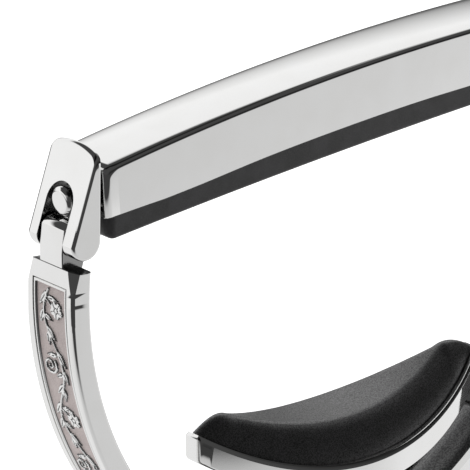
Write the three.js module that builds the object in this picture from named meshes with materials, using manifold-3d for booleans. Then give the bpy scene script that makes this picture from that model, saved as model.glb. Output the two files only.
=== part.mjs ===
// Yoke-style guitar capo: a hinged string bar over a C-shaped yoke, with a screw-driven back saddle.
// Millimetres. X runs along the string bar (hinge at -X, latch at +X), Y along the instrument's neck,
// +Z up. The origin is the middle of the string pad's underside, where the strings touch it.
import * as THREE from 'three';
import { mergeVertices } from 'three/addons/utils/BufferGeometryUtils.js';
import Module from 'manifold-3d';

const wasm = await Module();
wasm.setup();

// ---------- driving dimensions ----------
const YOKE = {
  width: 6.5,
  outer: { offset: 4.8, z: -7.6, radius: 36.8 },
  inner: { offset: 3.8, z: -7.65, radius: 33.7 },
  topAngle: -9.6,
  segments: 24,
  bossRadius: 5,
  bossBottom: -46.2,
};
const PIVOT = { x: 29.9, z: 0.1, pinRadius: 0.8, boreRadius: 0.88, length: 5.9, tongueRadius: 1.6 };
const TONGUE_WIDTH = 3.2;
const SLOT_WIDTH = 3.6;
const SCOOP = { z: 0.9, radius: 3.6 };
const PANEL = { first: 1, last: 18, width: 4.6, recess: 0.35, thickness: 0.27, gap: 0.05 };
const SEAT = { fromDeg: 46.5, toDeg: 72.5, radius: 32.55, segments: 10 };
const LINER = { fromDeg: 48, toDeg: 71, width: 4.8, thickness: 1.15, gap: 0.05, segments: 9 };

const BLOCK = { innerX: 28.0, footX: 31.55, footRadius: 1.65, topX: 28.35, topZ: 7.7, crown: 0.7 };
const STUD = { z: 3.25, headRadius: 1.4, shankRadius: 0.75 };

const BAR = {
  halfLength: 27.7,
  width: 7,
  bottom: { z: 2.32, radius: 480 },
  edge: { z: 7.47, radius: 290 },
  round: 0.38,
  crown: 0.75,
};
const STRING_PAD = { halfLength: 27.45, width: 6.6, radius: 900, corner: 0.6, gap: 0.06 };

const CATCH = { width: 2.8, tipX: 30.0, bottom: 2.65, top: 4.3, studZ: 3.55 };
const ROLLER = { x: 29.0, z: 5.2, radius: 0.75 };
const LATCH_RELEASED_DEG = 40;

const SADDLE = {
  halfLength: 17.1,
  halfWidth: 5.6,
  planRadius: 33.8,
  lip: { z: -29.7, radius: 29.9 },
  wall: 2.75,
  rim: 0.6,
  recess: 1.1,
  leanDeg: 3.1,
};
const PAD = { topZ: -26.3, topRadius: 33.5, inset: 0.7, shoulder: 1.6, crestX: 14.2 };
const ROCKER = { z: -34.6, pinRadius: 0.8, boreRadius: 0.88, earRadius: 1.9, earInner: 2.5, earOuter: 3.6 };

const HOUSING = { eyeWidth: 4.6, discRadius: 4.0, discTop: -36.7, discBottom: -38.4, boreTop: -36.95 };
const SCREW = { radius: 2.5, neck: 1.6, groove: 1.25, shoulderZ: -38.9, tipZ: -37.05, endZ: -62.4 };
const RETAINER = { x: 1.85, z: -37.75, radius: 0.4, length: 6.4 };
const WASHER = { radius: 3.0, bore: 1.75, top: -38.45, bottom: -38.8 };
const BUSHING = { radius: 3.5, bore: 2.63, flangeRadius: 4.6, top: -40.7, bottom: -47.0 };
const KNOB = { radius: 8.1, gripRadius: 9.8, valley: 9.1, ribs: 20, top: -56.4, bottom: -65.2 };
const KNOB_SCREW = { headRadius: 2.2, shankRadius: 1.2, tipZ: -58.6 };

const MATERIALS = {
  steel: { color: 0xc9cac8, metalness: 0.9, roughness: 0.18 },
  etched: { color: 0xb0a6a2, metalness: 0.6, roughness: 0.55 },
  rubber: { color: 0x2c2b2c, metalness: 0.0, roughness: 0.85 },
  brass: { color: 0xb99a55, metalness: 0.9, roughness: 0.3 },
};

// ---------- small tools ----------
const rad = (deg) => (deg * Math.PI) / 180;

// A three.js geometry as a closed solid.
function toSolid(geometry) {
  const bare = new THREE.BufferGeometry();
  bare.setAttribute('position', geometry.getAttribute('position'));
  if (geometry.index) bare.setIndex(geometry.index);
  const welded = mergeVertices(bare, 1e-5);
  const mesh = new wasm.Mesh({
    numProp: 3,
    vertProperties: new Float32Array(welded.getAttribute('position').array),
    triVerts: new Uint32Array(welded.index.array),
  });
  return new wasm.Manifold(mesh);
}

// A closed solid as a three.js geometry.
function toGeometry(solid) {
  const mesh = solid.getMesh();
  const geometry = new THREE.BufferGeometry();
  geometry.setAttribute('position', new THREE.BufferAttribute(mesh.vertProperties, 3));
  geometry.setIndex(new THREE.BufferAttribute(mesh.triVerts, 1));
  geometry.computeVertexNormals();
  return geometry;
}

// An outline in the XZ plane, given width along Y.
function prismXZ(points, yMin, yMax) {
  const shape = new THREE.Shape(points.map(([x, z]) => new THREE.Vector2(x, z)));
  const geometry = new THREE.ExtrudeGeometry(shape, { depth: yMax - yMin, bevelEnabled: false });
  geometry.rotateX(Math.PI / 2);
  geometry.translate(0, yMax, 0);
  return toSolid(geometry);
}

// A round bar between two points on one axis ('x', 'y' or 'z').
function rod(axis, radius, from, to, centre, sides = 24) {
  const geometry = new THREE.CylinderGeometry(radius, radius, Math.abs(to - from), sides);
  const mid = (from + to) / 2;
  if (axis === 'x') geometry.rotateZ(Math.PI / 2).translate(mid, centre[0], centre[1]);
  if (axis === 'y') geometry.translate(centre[0], mid, centre[1]);
  if (axis === 'z') geometry.rotateX(Math.PI / 2).translate(centre[0], centre[1], mid);
  return toSolid(geometry);
}

// A turned part about the Z axis from [radius, z] pairs.
function turned(profile, sides = 32) {
  const points = profile.map(([r, z]) => new THREE.Vector2(r, z));
  points.push(points[0].clone());
  const geometry = new THREE.LatheGeometry(points, sides);
  geometry.rotateX(Math.PI / 2);
  const solid = toSolid(geometry);
  return solid.volume() < 0 ? toSolid(flipped(geometry)) : solid;
}

function flipped(geometry) {
  const index = Array.from(geometry.index.array);
  for (let i = 0; i < index.length; i += 3) {
    [index[i + 1], index[i + 2]] = [index[i + 2], index[i + 1]];
  }
  geometry.setIndex(index);
  return geometry;
}

// A skin over sections [x, [[y, z], ...]], all with the same number of corners.
function loft(sections) {
  const count = sections[0][1].length;
  const positions = [];
  const index = [];
  for (const [x, ring] of sections) {
    for (const [y, z] of ring) positions.push(x, y, z);
  }
  for (let s = 0; s < sections.length - 1; s += 1) {
    for (let i = 0; i < count; i += 1) {
      const a = s * count + i;
      const b = s * count + ((i + 1) % count);
      index.push(a, a + count, b, b, a + count, b + count);
    }
  }
  const last = (sections.length - 1) * count;
  for (let i = 1; i < count - 1; i += 1) {
    index.push(0, i, i + 1);
    index.push(last, last + i + 1, last + i);
  }
  const geometry = new THREE.BufferGeometry();
  geometry.setAttribute('position', new THREE.Float32BufferAttribute(positions, 3));
  geometry.setIndex(index);
  const solid = toSolid(geometry);
  return solid.volume() < 0 ? toSolid(flipped(geometry)) : solid;
}

// Points along an arc in the XZ plane, angles counter-clockwise from +X seen from the front.
function arc(cx, cz, radius, fromDeg, toDeg, segments) {
  const points = [];
  for (let i = 0; i <= segments; i += 1) {
    const a = rad(fromDeg + ((toDeg - fromDeg) * i) / segments);
    points.push([cx + radius * Math.cos(a), cz + radius * Math.sin(a)]);
  }
  return points;
}

const mirrored = (points) => points.map(([x, z]) => [-x, z]).reverse();
const leftToRight = (solid) => solid.mirror([1, 0, 0]);

// Turns a solid about a Y-parallel axis, positive by the right-hand rule.
function turnedAboutY(solid, x, z, deg) {
  return solid.translate([-x, 0, -z]).rotate([0, deg, 0]).translate([x, 0, z]);
}

// Height of a shallow arch at x; positive radius sags downwards away from the middle.
const arch = (curve, x) => curve.z - (curve.radius - Math.sqrt(curve.radius ** 2 - x ** 2));
const bowl = (curve, x) => curve.z + (curve.radius - Math.sqrt(curve.radius ** 2 - x ** 2));

// ---------- yoke ----------
// Angle below the horizontal of one station on the left outer arc, and where that arc ends at x = 0.
const bottomAngle = (Math.acos(YOKE.outer.offset / YOKE.outer.radius) * 180) / Math.PI;
const stationAngle = (i) => YOKE.topAngle + ((bottomAngle - YOKE.topAngle) * i) / YOKE.segments;

function yokeArcPoint(curve, angleDeg) {
  const a = rad(angleDeg);
  return [curve.offset - curve.radius * Math.cos(a), curve.z - curve.radius * Math.sin(a)];
}

function yokeOutline() {
  const innerBottom = (Math.acos(YOKE.inner.offset / YOKE.inner.radius) * 180) / Math.PI;
  const outer = [];
  const inner = [];
  for (let i = 0; i <= YOKE.segments; i += 1) {
    outer.push(yokeArcPoint(YOKE.outer, stationAngle(i)));
    const angle = YOKE.topAngle + ((innerBottom - YOKE.topAngle) * i) / YOKE.segments;
    inner.push(yokeArcPoint(YOKE.inner, angle));
  }
  const rightOuter = mirrored(outer).slice(1);
  const rightInner = mirrored(inner).slice(1);
  return [...outer, ...rightOuter, ...[...inner, ...rightInner].reverse()];
}

// The rounded tongue that stands between the legs of the hinge block, on the left side.
function tongueOutline() {
  const crown = arc(-PIVOT.x, PIVOT.z, PIVOT.tongueRadius, 0, 139, 10);
  return [...crown, [-31.47, -0.9], [-31.6, -3.6], [-29.9, -4.6], [-28.5, -0.9]];
}

function panelSector(rMin, rMax, side, halfWidth, pad) {
  const points = [];
  for (let i = PANEL.first; i <= PANEL.last; i += 1) {
    const angle = stationAngle(i) + (i === PANEL.first ? pad : 0) - (i === PANEL.last ? pad : 0);
    points.push(yokeArcPoint({ ...YOKE.outer, radius: rMax }, angle));
  }
  for (let i = PANEL.last; i >= PANEL.first; i -= 1) {
    const angle = stationAngle(i) + (i === PANEL.first ? pad : 0) - (i === PANEL.last ? pad : 0);
    points.push(yokeArcPoint({ ...YOKE.outer, radius: rMin }, angle));
  }
  const outline = side < 0 ? points : mirrored(points);
  return prismXZ(outline, -halfWidth, halfWidth);
}

// A band of the yoke's inner face between two radii, on the left or the right.
function innerBand(rMin, rMax, fromDeg, toDeg, segments, side, halfWidth) {
  const angle = (i) => fromDeg + ((toDeg - fromDeg) * i) / segments;
  const points = [];
  for (let i = 0; i <= segments; i += 1) {
    points.push(yokeArcPoint({ ...YOKE.inner, radius: rMax }, angle(i)));
  }
  for (let i = segments; i >= 0; i -= 1) {
    points.push(yokeArcPoint({ ...YOKE.inner, radius: rMin }, angle(i)));
  }
  return prismXZ(side < 0 ? points : mirrored(points), -halfWidth, halfWidth);
}

// The raised land inside the yoke with the channel its rubber liner lies in.
function linerSeat(side) {
  const half = YOKE.width / 2;
  const inner = YOKE.inner.radius;
  const land = innerBand(SEAT.radius, inner + 0.5, SEAT.fromDeg, SEAT.toDeg, SEAT.segments, side, half);
  const channelHalf = LINER.width / 2 + LINER.gap;
  const from = LINER.fromDeg - 0.1;
  const to = LINER.toDeg + 0.1;
  const channel = innerBand(SEAT.radius - 1, inner, from, to, LINER.segments, side, channelHalf);
  return { land, channel };
}

function yokeFrame() {
  const half = YOKE.width / 2;
  let yoke = prismXZ(yokeOutline(), -half, half);
  const scoop = rod('y', SCOOP.radius, -half - 1, half + 1, [-PIVOT.x, SCOOP.z], 36);
  const aboveScoop = prismXZ([[-34, -0.6], [-26, -0.6], [-26, 4], [-34, 4]], -half - 1, half + 1);
  const tongue = prismXZ(tongueOutline(), -TONGUE_WIDTH / 2, TONGUE_WIDTH / 2);
  const bore = rod('y', PIVOT.boreRadius, -half, half, [-PIVOT.x, PIVOT.z], 16);
  const cut = scoop.add(aboveScoop);
  yoke = yoke.subtract(cut).subtract(leftToRight(cut));
  yoke = yoke.add(tongue).add(leftToRight(tongue));
  yoke = yoke.subtract(bore).subtract(leftToRight(bore));
  const outerR = YOKE.outer.radius;
  const recessHalf = PANEL.width / 2 + PANEL.gap;
  for (const side of [-1, 1]) {
    const { land, channel } = linerSeat(side);
    yoke = yoke.subtract(panelSector(outerR - PANEL.recess, outerR + 1, side, recessHalf, 0));
    yoke = yoke.add(land).subtract(channel);
  }
  const boss = rod('z', YOKE.bossRadius, YOKE.bossBottom, -41.15, [0, 0], 40);
  const hole = rod('z', BUSHING.radius + 0.12, YOKE.bossBottom - 1, -39, [0, 0], 32);
  return yoke.add(boss).subtract(hole);
}

function yokePanel(side) {
  const inner = YOKE.outer.radius - PANEL.recess + PANEL.gap;
  return panelSector(inner, inner + PANEL.thickness, side, PANEL.width / 2, 0.12);
}

function yokeLiner(side) {
  const outer = YOKE.inner.radius - LINER.gap;
  const inner = outer - LINER.thickness;
  return innerBand(inner, outer, LINER.fromDeg, LINER.toDeg, LINER.segments, side, LINER.width / 2);
}

// ---------- hinge block and its pin ----------
// Wedge-shaped outline shared by the hinge block and the latch lever, drawn on the left.
function wedgeOutline() {
  const foot = arc(-PIVOT.x, PIVOT.z, BLOCK.footRadius, 180, 360, 14);
  return [
    ...foot,
    [-BLOCK.innerX, BLOCK.topZ],
    [-BLOCK.topX, BLOCK.topZ],
  ];
}

function pinBore(sideX) {
  return rod('y', PIVOT.boreRadius, -PIVOT.length / 2 - 0.06, PIVOT.length / 2 + 0.06, [sideX, PIVOT.z], 16);
}

function hingeBlock() {
  const half = YOKE.width / 2;
  const slotHalf = SLOT_WIDTH / 2;
  const reach = half - 0.15;
  const crown = [[reach, BLOCK.topZ - 0.01]];
  for (let i = 0; i <= 10; i += 1) {
    const y = reach - (reach * i) / 5;
    crown.push([y, BLOCK.topZ + 0.02 + (BLOCK.crown - 0.02) * (1 - (y / reach) ** 2)]);
  }
  crown.push([-reach, BLOCK.topZ - 0.01]);
  let block = prismXZ(wedgeOutline(), -half, half);
  block = block.add(loft([[-BLOCK.topX, crown], [-BLOCK.innerX, crown]]));
  const through = prismXZ([[-33, -3], [-27, -3], [-27, 2.15], [-33, 2.15]], -slotHalf, slotHalf);
  const pocket = prismXZ([[-33, 2.1], [-29.0, 2.1], [-29.0, STUD.z], [-33, STUD.z]], -slotHalf, slotHalf);
  const pocketTop = rod('x', slotHalf, -33, -29.0, [0, STUD.z], 24);
  const studHole = rod('x', STUD.shankRadius + 0.08, -30, -27, [0, STUD.z], 16);
  return block.subtract(through).subtract(pocket).subtract(pocketTop).subtract(studHole)
    .subtract(pinBore(-PIVOT.x));
}

function pivotPin(sideX) {
  return rod('y', PIVOT.pinRadius, -PIVOT.length / 2, PIVOT.length / 2, [sideX, PIVOT.z], 16);
}

// Fastens the hinge block to the end of the bar; its round head sits in the block's slot.
function barStud() {
  const head = rod('x', STUD.headRadius, -30.0, -29.3, [0, STUD.z], 20);
  const nose = rod('x', STUD.headRadius - 0.25, -30.2, -29.9, [0, STUD.z], 20);
  const seat = rod('x', STUD.headRadius - 0.2, -29.35, -29.05, [0, STUD.z], 20);
  const shank = rod('x', STUD.shankRadius, -29.1, -24.8, [0, STUD.z], 16);
  return head.add(nose).add(seat).add(shank);
}

// ---------- string bar and its pad ----------
// Stations along the bar with the drop of the top edge near each rounded end.
const BAR_STATIONS = [
  [27.7, 2.2],
  [27.45, 1.25],
  [26.9, 0.55],
  [26.0, 0.12],
  [24.5, 0],
  [21.0, 0],
  [17.0, 0],
  [13.0, 0],
  [9.0, 0],
  [5.0, 0],
  [1.7, 0],
];

function symmetricStations(stations) {
  const left = stations.map(([x, drop]) => [-x, drop]);
  return [...left, ...[...stations].reverse()];
}

function barSection(x, drop) {
  const half = BAR.width / 2;
  const bottom = arch(BAR.bottom, x);
  const edge = arch(BAR.edge, x) - drop;
  return [
    [-half, bottom],
    [half, bottom],
    [half, edge],
    [half - BAR.round, edge + BAR.round],
    [1.6, edge + BAR.crown],
    [-1.6, edge + BAR.crown],
    [-half + BAR.round, edge + BAR.round],
    [-half, edge],
  ];
}

function stringBar() {
  const sections = symmetricStations(BAR_STATIONS).map(([x, drop]) => [x, barSection(x, drop)]);
  const studHole = rod('x', STUD.shankRadius + 0.08, -28, -24.6, [0, STUD.z], 16);
  const catchHole = rod('x', STUD.shankRadius + 0.08, 24.6, 28, [0, CATCH.studZ], 16);
  return loft(sections).subtract(studHole).subtract(catchHole);
}

function stringPad() {
  const half = STRING_PAD.width / 2;
  const underside = { z: 0, radius: STRING_PAD.radius };
  const stations = [[27.45, 0.7], [27.2, 0.3], [26.7, 0], [21.0, 0], [15.0, 0], [9.0, 0], [3.0, 0]];
  const sections = symmetricStations(stations).map(([x, lift]) => {
    const flat = Math.abs(x) <= 3 ? 0 : arch(underside, x);
    const bottom = flat + lift;
    const top = arch(BAR.bottom, x) - STRING_PAD.gap;
    return [x, [
      [-half, bottom + 0.35],
      [-half + 0.35, bottom],
      [half - 0.35, bottom],
      [half, bottom + 0.35],
      [half, top],
      [-half, top],
    ]];
  });
  return loft(sections);
}

// ---------- latch at the bar's free end ----------
// Tongue on the bar's end that the latch roller holds down, with a notch where the roller sits.
function catchTongue() {
  const half = CATCH.width / 2;
  const outline = [
    [27.76, CATCH.bottom],
    [CATCH.tipX - 0.6, CATCH.bottom],
    [CATCH.tipX, CATCH.bottom + 0.6],
    [CATCH.tipX, CATCH.top],
    [CATCH.tipX - 0.3, CATCH.top + 0.3],
    [27.76, CATCH.top + 0.3],
  ];
  const notch = rod('y', ROLLER.radius + 0.16, -half - 1, half + 1, [ROLLER.x, ROLLER.z], 24);
  const studHole = rod('x', STUD.shankRadius + 0.08, 27, 29.2, [0, CATCH.studZ], 16);
  return prismXZ(outline, -half, half).subtract(notch).subtract(studHole);
}

function catchStud() {
  return rod('x', STUD.shankRadius, 24.8, 29.1, [0, CATCH.studZ], 16);
}

function latchLever() {
  const half = YOKE.width / 2;
  const slotHalf = SLOT_WIDTH / 2;
  const wedge = mirrored(wedgeOutline());
  const tab = [[28.0, 7.2], [29.3, 5.7], [31.2, 8.3], [30.8, 9.0], [30.0, 9.1], [28.0, 8.2]];
  const slot = prismXZ([[27, -3], [33, -3], [33, 4.4], [27, 6.4]], -slotHalf, slotHalf);
  const rollerBore = rod('y', ROLLER.radius + 0.08, -2.96, 2.96, [ROLLER.x, ROLLER.z], 16);
  const lever = prismXZ(wedge, -half, half).add(prismXZ(tab, -half, half));
  const closed = lever.subtract(slot).subtract(rollerBore).subtract(pinBore(PIVOT.x));
  return turnedAboutY(closed, PIVOT.x, PIVOT.z, LATCH_RELEASED_DEG);
}

function latchRoller() {
  const closed = rod('y', ROLLER.radius, -2.9, 2.9, [ROLLER.x, ROLLER.z], 16);
  return turnedAboutY(closed, PIVOT.x, PIVOT.z, LATCH_RELEASED_DEG);
}

// ---------- back saddle ----------
const SADDLE_STATIONS = [17.1, 16.6, 15.6, 14.2, 12, 9.5, 7, 4.5, 1.6];

function saddleHalfWidth(x) {
  const ax = Math.abs(x);
  const lens = SADDLE.halfWidth - (SADDLE.planRadius - Math.sqrt(SADDLE.planRadius ** 2 - ax ** 2));
  return ax > 16.8 ? lens - 0.35 : lens;
}

function saddleSections(inset, bottomOf, topOf) {
  const xs = [...SADDLE_STATIONS.map((x) => -x), ...[...SADDLE_STATIONS].reverse()];
  const shrink = (SADDLE.halfLength - inset) / SADDLE.halfLength;
  return xs.map((x) => {
    const half = Math.max(saddleHalfWidth(x) - inset, 0.25);
    const bx = x * shrink;
    return [bx, [[-half, bottomOf(bx)], [half, bottomOf(bx)], [half, topOf(bx)], [-half, topOf(bx)]]];
  });
}

function leaned(solid) {
  return turnedAboutY(solid, 0, ROCKER.z, SADDLE.leanDeg);
}

function saddleEar(yMin, yMax) {
  const foot = arc(0, ROCKER.z, ROCKER.earRadius, 180, 360, 12);
  return prismXZ([...foot, [2.4, -32.2], [-2.4, -32.2]], yMin, yMax);
}

function saddleTray() {
  const lipAt = (x) => bowl(SADDLE.lip, x);
  const slab = loft(saddleSections(0, (x) => lipAt(x) - SADDLE.wall, lipAt));
  const well = loft(saddleSections(SADDLE.rim, (x) => lipAt(x) - SADDLE.recess, (x) => lipAt(x) + 1));
  const front = saddleEar(-ROCKER.earOuter, -ROCKER.earInner);
  const back = saddleEar(ROCKER.earInner, ROCKER.earOuter);
  const bore = rod('y', ROCKER.boreRadius, -5, 5, [0, ROCKER.z], 16);
  return leaned(slab.subtract(well).add(front).add(back).subtract(bore));
}

function saddlePad() {
  const lipAt = (x) => bowl(SADDLE.lip, x);
  const top = { z: PAD.topZ, radius: PAD.topRadius };
  const crest = bowl(top, PAD.crestX);
  const topAt = (x) => {
    const past = Math.abs(x) - PAD.crestX;
    return past > 0 ? crest - past * 0.35 : bowl(top, x);
  };
  const base = (x) => lipAt(x) - SADDLE.recess + 0.07;
  const pads = saddleSections(PAD.inset, base, topAt).map(([x, ring]) => {
    const half = ring[1][0];
    const z = topAt(x);
    const shoulder = Math.min(PAD.shoulder, half * 0.6);
    return [x, [
      [-half, base(x)],
      [half, base(x)],
      [half, z - shoulder],
      [half - shoulder, z],
      [-half + shoulder, z],
      [-half, z - shoulder],
    ]];
  });
  return leaned(loft(pads));
}

function saddlePin() {
  return leaned(rod('y', ROCKER.pinRadius, -3.9, 3.9, [0, ROCKER.z], 16));
}

// ---------- swivel housing and adjusting screw ----------
function swivelHousing() {
  const half = HOUSING.eyeWidth / 2;
  const crown = arc(0, ROCKER.z, 1.85, 0, 180, 12);
  const eye = prismXZ([...crown, [-1.85, -37.5], [1.85, -37.5]], -half, half);
  const disc = rod('z', HOUSING.discRadius, HOUSING.discBottom, HOUSING.discTop, [0, 0], 36);
  const pinHole = rod('y', ROCKER.boreRadius, -4, 4, [0, ROCKER.z], 16);
  const neckBore = rod('z', SCREW.neck + 0.12, -39, HOUSING.boreTop, [0, 0], 24);
  const retainerHole = rod('y', RETAINER.radius + 0.08, -4.5, 4.5, [RETAINER.x, RETAINER.z], 12);
  return eye.add(disc).subtract(pinHole).subtract(neckBore).subtract(retainerHole);
}

function screwRetainer() {
  return rod('y', RETAINER.radius, -RETAINER.length / 2, RETAINER.length / 2, [RETAINER.x, RETAINER.z], 12);
}

function thrustWasher() {
  return turned([
    [WASHER.bore, WASHER.bottom],
    [WASHER.radius, WASHER.bottom],
    [WASHER.radius, WASHER.top],
    [WASHER.bore, WASHER.top],
  ]);
}

function adjustingScrew() {
  const grooveBottom = RETAINER.z - RETAINER.radius - 0.1;
  const grooveTop = RETAINER.z + RETAINER.radius + 0.1;
  return turned([
    [KNOB_SCREW.shankRadius + 0.1, SCREW.endZ],
    [SCREW.radius, SCREW.endZ],
    [SCREW.radius, SCREW.shoulderZ],
    [SCREW.neck, SCREW.shoulderZ],
    [SCREW.neck, grooveBottom],
    [SCREW.groove, grooveBottom],
    [SCREW.groove, grooveTop],
    [SCREW.neck, grooveTop],
    [SCREW.neck, SCREW.tipZ],
    [0, SCREW.tipZ],
    [0, KNOB_SCREW.tipZ + 0.2],
    [KNOB_SCREW.shankRadius + 0.1, KNOB_SCREW.tipZ + 0.2],
  ], 32);
}

function screwBushing() {
  return turned([
    [BUSHING.bore, BUSHING.bottom],
    [BUSHING.flangeRadius, BUSHING.bottom],
    [BUSHING.flangeRadius, YOKE.bossBottom - 0.06],
    [BUSHING.radius, YOKE.bossBottom - 0.06],
    [BUSHING.radius, BUSHING.top],
    [BUSHING.bore, BUSHING.top],
  ]);
}

// ---------- thumb knob ----------
function knobCore() {
  const seat = KNOB.bottom + 1.7;
  return turned([
    [KNOB_SCREW.headRadius + 0.15, KNOB.bottom],
    [KNOB.radius - 0.6, KNOB.bottom],
    [KNOB.radius, KNOB.bottom + 0.6],
    [KNOB.radius, KNOB.top - 0.6],
    [KNOB.radius - 0.6, KNOB.top],
    [SCREW.radius + 0.08, KNOB.top],
    [SCREW.radius + 0.08, SCREW.endZ - 0.1],
    [KNOB_SCREW.shankRadius + 0.1, SCREW.endZ - 0.1],
    [KNOB_SCREW.shankRadius + 0.1, seat],
    [KNOB_SCREW.headRadius + 0.15, seat],
  ], 40);
}

function knobGrip() {
  const outline = new THREE.Shape();
  const steps = KNOB.ribs * 4;
  for (let i = 0; i < steps; i += 1) {
    const a = (i / steps) * Math.PI * 2;
    const r = i % 4 < 2 ? KNOB.gripRadius : KNOB.valley;
    const point = [r * Math.cos(a), r * Math.sin(a)];
    if (i === 0) outline.moveTo(...point);
    else outline.lineTo(...point);
  }
  const depth = KNOB.top - KNOB.bottom - 2.4;
  const geometry = new THREE.ExtrudeGeometry(outline, { depth, bevelEnabled: false });
  geometry.translate(0, 0, KNOB.bottom + 1.2);
  const bore = rod('z', KNOB.radius + 0.1, KNOB.bottom, KNOB.top, [0, 0], 40);
  return toSolid(geometry).subtract(bore);
}

function knobScrew() {
  const headTop = KNOB.bottom + 1.64;
  const socket = new THREE.CylinderGeometry(1.0, 1.0, 1.4, 6).rotateX(Math.PI / 2);
  socket.translate(0, 0, KNOB.bottom + 0.3);
  return turned([
    [0, KNOB.bottom + 0.2],
    [KNOB_SCREW.headRadius, KNOB.bottom + 0.2],
    [KNOB_SCREW.headRadius, headTop],
    [KNOB_SCREW.shankRadius, headTop],
    [KNOB_SCREW.shankRadius, KNOB_SCREW.tipZ],
    [0, KNOB_SCREW.tipZ],
  ], 24).subtract(toSolid(socket));
}

// ---------- assembly ----------
const PARTS = [
  ['yoke_frame', yokeFrame, 'steel'],
  ['yoke_panel_left', () => yokePanel(-1), 'etched'],
  ['yoke_panel_right', () => yokePanel(1), 'etched'],
  ['yoke_liner_left', () => yokeLiner(-1), 'rubber'],
  ['yoke_liner_right', () => yokeLiner(1), 'rubber'],
  ['screw_bushing', screwBushing, 'brass'],
  ['hinge_pin', () => pivotPin(-PIVOT.x), 'steel'],
  ['latch_pin', () => pivotPin(PIVOT.x), 'steel'],
  ['hinge_block', hingeBlock, 'steel'],
  ['bar_stud', barStud, 'steel'],
  ['string_bar', stringBar, 'steel'],
  ['string_pad', stringPad, 'rubber'],
  ['catch_tongue', catchTongue, 'steel'],
  ['catch_stud', catchStud, 'steel'],
  ['latch_lever', latchLever, 'steel'],
  ['latch_roller', latchRoller, 'steel'],
  ['saddle_tray', saddleTray, 'steel'],
  ['saddle_pad', saddlePad, 'rubber'],
  ['saddle_pin', saddlePin, 'steel'],
  ['swivel_housing', swivelHousing, 'steel'],
  ['screw_retainer', screwRetainer, 'steel'],
  ['thrust_washer', thrustWasher, 'brass'],
  ['adjusting_screw', adjustingScrew, 'steel'],
  ['knob_core', knobCore, 'steel'],
  ['knob_grip', knobGrip, 'rubber'],
  ['knob_screw', knobScrew, 'steel'],
];

const capo = new THREE.Group();
capo.name = 'guitar_capo';
for (const [name, make, slot] of PARTS) {
  const mesh = new THREE.Mesh(toGeometry(make()), new THREE.MeshStandardMaterial(MATERIALS[slot]));
  mesh.name = name;
  capo.add(mesh);
}

export default capo;
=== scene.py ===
"""Looks for the yoke-style guitar capo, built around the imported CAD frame.

Shapes are worked out in millimetres in the frame's own axes (X along the string bar, Y along the neck,
Z up, origin under the string pad) and scaled to metres once, in finish_piece().
"""

import math

import bmesh
import bpy
import numpy as np
from mathutils import Matrix, Vector


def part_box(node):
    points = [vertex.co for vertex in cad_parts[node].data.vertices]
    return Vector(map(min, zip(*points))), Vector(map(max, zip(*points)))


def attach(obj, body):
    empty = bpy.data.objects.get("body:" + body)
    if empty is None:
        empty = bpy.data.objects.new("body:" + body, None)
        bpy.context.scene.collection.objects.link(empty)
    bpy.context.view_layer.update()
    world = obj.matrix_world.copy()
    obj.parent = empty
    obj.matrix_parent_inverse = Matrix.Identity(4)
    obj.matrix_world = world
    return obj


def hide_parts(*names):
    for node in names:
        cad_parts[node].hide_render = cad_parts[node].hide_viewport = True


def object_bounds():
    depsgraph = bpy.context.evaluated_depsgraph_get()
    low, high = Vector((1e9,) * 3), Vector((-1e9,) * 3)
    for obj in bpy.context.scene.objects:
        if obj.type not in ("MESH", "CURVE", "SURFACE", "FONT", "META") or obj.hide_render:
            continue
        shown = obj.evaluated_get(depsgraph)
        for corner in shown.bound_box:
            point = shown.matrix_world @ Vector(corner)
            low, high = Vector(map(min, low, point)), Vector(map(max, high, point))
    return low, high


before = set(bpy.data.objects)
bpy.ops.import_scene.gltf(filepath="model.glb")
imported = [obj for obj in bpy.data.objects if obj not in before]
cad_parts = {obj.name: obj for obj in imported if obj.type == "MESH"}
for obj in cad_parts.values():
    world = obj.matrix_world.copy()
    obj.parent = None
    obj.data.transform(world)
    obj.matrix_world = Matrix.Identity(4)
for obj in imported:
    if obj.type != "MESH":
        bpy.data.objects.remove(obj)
cad_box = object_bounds()
MM = 0.001


def node_box(name):
    """A CAD node's lowest and highest corner, in millimetres."""
    low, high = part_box(name)
    return np.array(low) / MM, np.array(high) / MM


# ---------------------------------------------------------------- dimensions
BAR_LOW, BAR_HIGH = node_box("string_bar")
STRING_PAD_HIGH = node_box("string_pad")[1]
KNOB_LOW, KNOB_HIGH = node_box("knob_core")
GRIP_LOW, GRIP_HIGH = node_box("knob_grip")
SCREW_LOW = node_box("adjusting_screw")[0]

YOKE_WIDTH = 6.5
OUTER = {"offset": 4.8, "z": -7.6, "radius": 36.8}
INNER = {"offset": 3.8, "z": -7.65, "radius": 33.7}
YOKE_TOP_ANGLE = -9.6
YOKE_STATIONS = 24
YOKE_EDGE_RADIUS = 0.28
PANEL_FIRST, PANEL_LAST = 1, 18
PANEL_HALF = 2.3
PANEL_RECESS = 0.35
PANEL_TOP_RADIUS = OUTER["radius"] - 0.03
PANEL_BASE_RADIUS = OUTER["radius"] - 0.3
PIVOT = (29.9, 0.1)
SCOOP = (0.9, 3.6)
BLOCK_TOP = (-28.35, 7.7)
BLOCK_CROWN = 0.68
BLOCK_SHOULDER = 0.8
BLOCK_EDGE_RADIUS = 0.3
BLOCK_BACK_RADIUS = 0.55
BLOCK_FOOT_RADIUS = 1.65
BLOCK_FILLET = 0.5
BLOCK_INNER_X = -27.76
SLOT_HALF = 1.8
TONGUE_HALF = 1.6
POCKET_BACK = -29.0
STUD_Z = 3.25
BOSS_BOTTOM = -46.2
LINER_ANGLES = (48.0, 71.0)
LINER_HALF = 2.4
LINER_BACK_RADIUS = 33.65
SEAT_ANGLES = (46.5, 72.5)
SEAT_RADIUS = 32.55
SEAT_BACK_RADIUS = 34.2

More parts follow.
